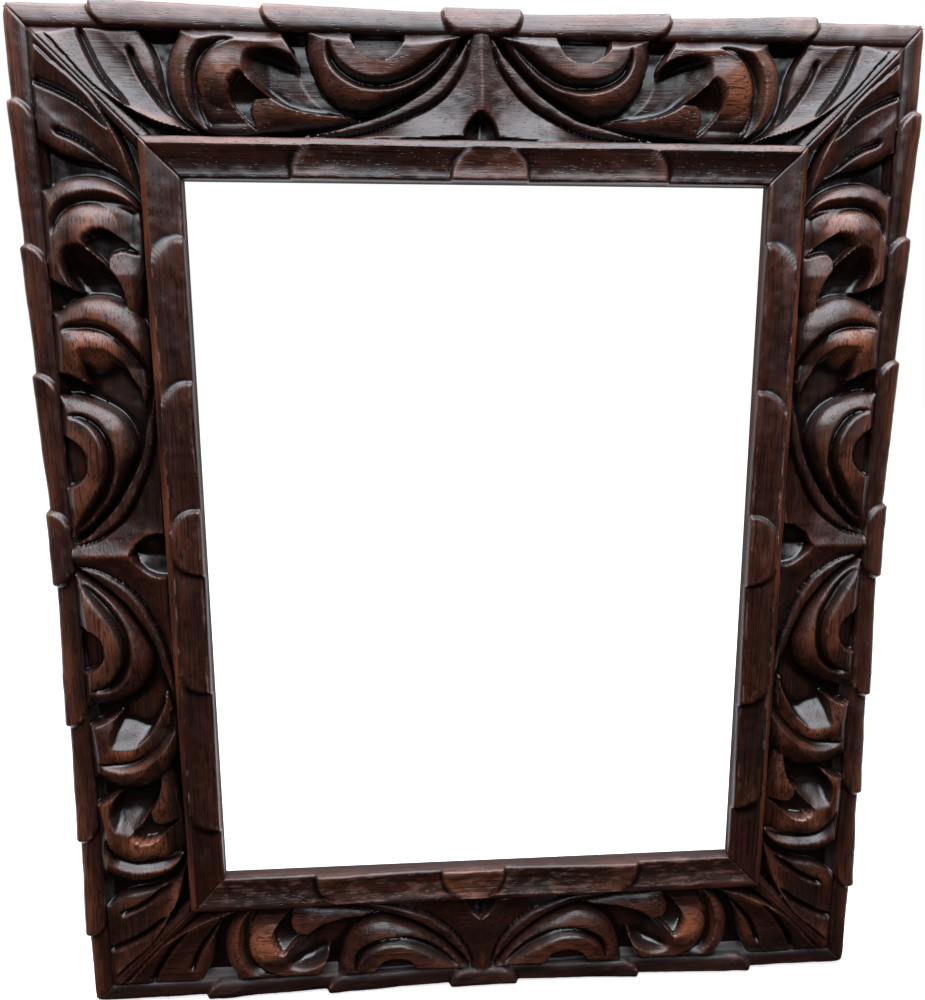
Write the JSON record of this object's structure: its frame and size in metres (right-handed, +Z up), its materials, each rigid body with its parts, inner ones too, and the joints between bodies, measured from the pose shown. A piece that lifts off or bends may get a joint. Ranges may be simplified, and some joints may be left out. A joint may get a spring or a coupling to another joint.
{
  "type": "carved wooden frame",
  "caption": "Upright wall frame of carved, mitred hardwood rails with scrolls, corner leaves and lapped edges, rebated at the back for a picture or mirror.",
  "frame": {"origin": "middle of the opening, in the plane of the rails' backs, where the wall is", "axes": "+X to the right seen from the front, +Z up, carved front towards -Y, wall towards +Y"},
  "size_m": [0.4194, 0.027, 0.4956],
  "materials": {
    "stained_hardwood": "dark stain under gloss lacquer, worn on the high edges",
    "fastener_steel": "dull corrugated strip",
    "button_brass": "dull brass plated sheet",
    "screw_steel": "zinc plated",
    "hanger_steel": "zinc plated"
  },
  "bodies": {
    "frame": {"top_rail": "stained_hardwood", "bottom_rail": "stained_hardwood", "left_stile": "stained_hardwood", "right_stile": "stained_hardwood", "mitre_fasteners_top_left": "fastener_steel", "mitre_fasteners_top_right": "fastener_steel", "mitre_fasteners_bottom_left": "fastener_steel", "mitre_fasteners_bottom_right": "fastener_steel", "button_screw_upper_left": "screw_steel", "button_screw_upper_right": "screw_steel", "button_screw_lower_left": "screw_steel", "button_screw_lower_right": "screw_steel", "hanger_strap_left": "hanger_steel", "hanger_strap_right": "hanger_steel", "hanger_screw_left": "screw_steel", "hanger_screw_right": "screw_steel"},
    "upper_left_button": {"turn_button_upper_left": "button_brass"},
    "upper_right_button": {"turn_button_upper_right": "button_brass"},
    "lower_left_button": {"turn_button_lower_left": "button_brass"},
    "lower_right_button": {"turn_button_lower_right": "button_brass"},
    "left_ring": {"hanger_ring_left": "hanger_steel"},
    "right_ring": {"hanger_ring_right": "hanger_steel"}
  },
  "joints": [
    {"name": "upper_left_button_turn", "type": "hinge", "parent": "frame", "child": "upper_left_button", "pos_m": [-0.1502, 0, 0.062], "axis": [0, 1, 0], "continuous": true},
    {"name": "upper_right_button_turn", "type": "hinge", "parent": "frame", "child": "upper_right_button", "pos_m": [0.1502, 0, 0.062], "axis": [0, 1, 0], "continuous": true},
    {"name": "lower_left_button_turn", "type": "hinge", "parent": "frame", "child": "lower_left_button", "pos_m": [-0.1502, 0, -0.062], "axis": [0, 1, 0], "continuous": true},
    {"name": "lower_right_button_turn", "type": "hinge", "parent": "frame", "child": "lower_right_button", "pos_m": [0.1502, 0, -0.062], "axis": [0, 1, 0], "continuous": true},
    {"name": "left_ring_swing", "type": "hinge", "parent": "frame", "child": "left_ring", "pos_m": [-0.1727, 0.0025, 0.122], "axis": [1, 0, 0], "range_deg": [0, 180]},
    {"name": "right_ring_swing", "type": "hinge", "parent": "frame", "child": "right_ring", "pos_m": [0.1727, 0.0025, 0.122], "axis": [1, 0, 0], "range_deg": [0, 180]}
  ]
}
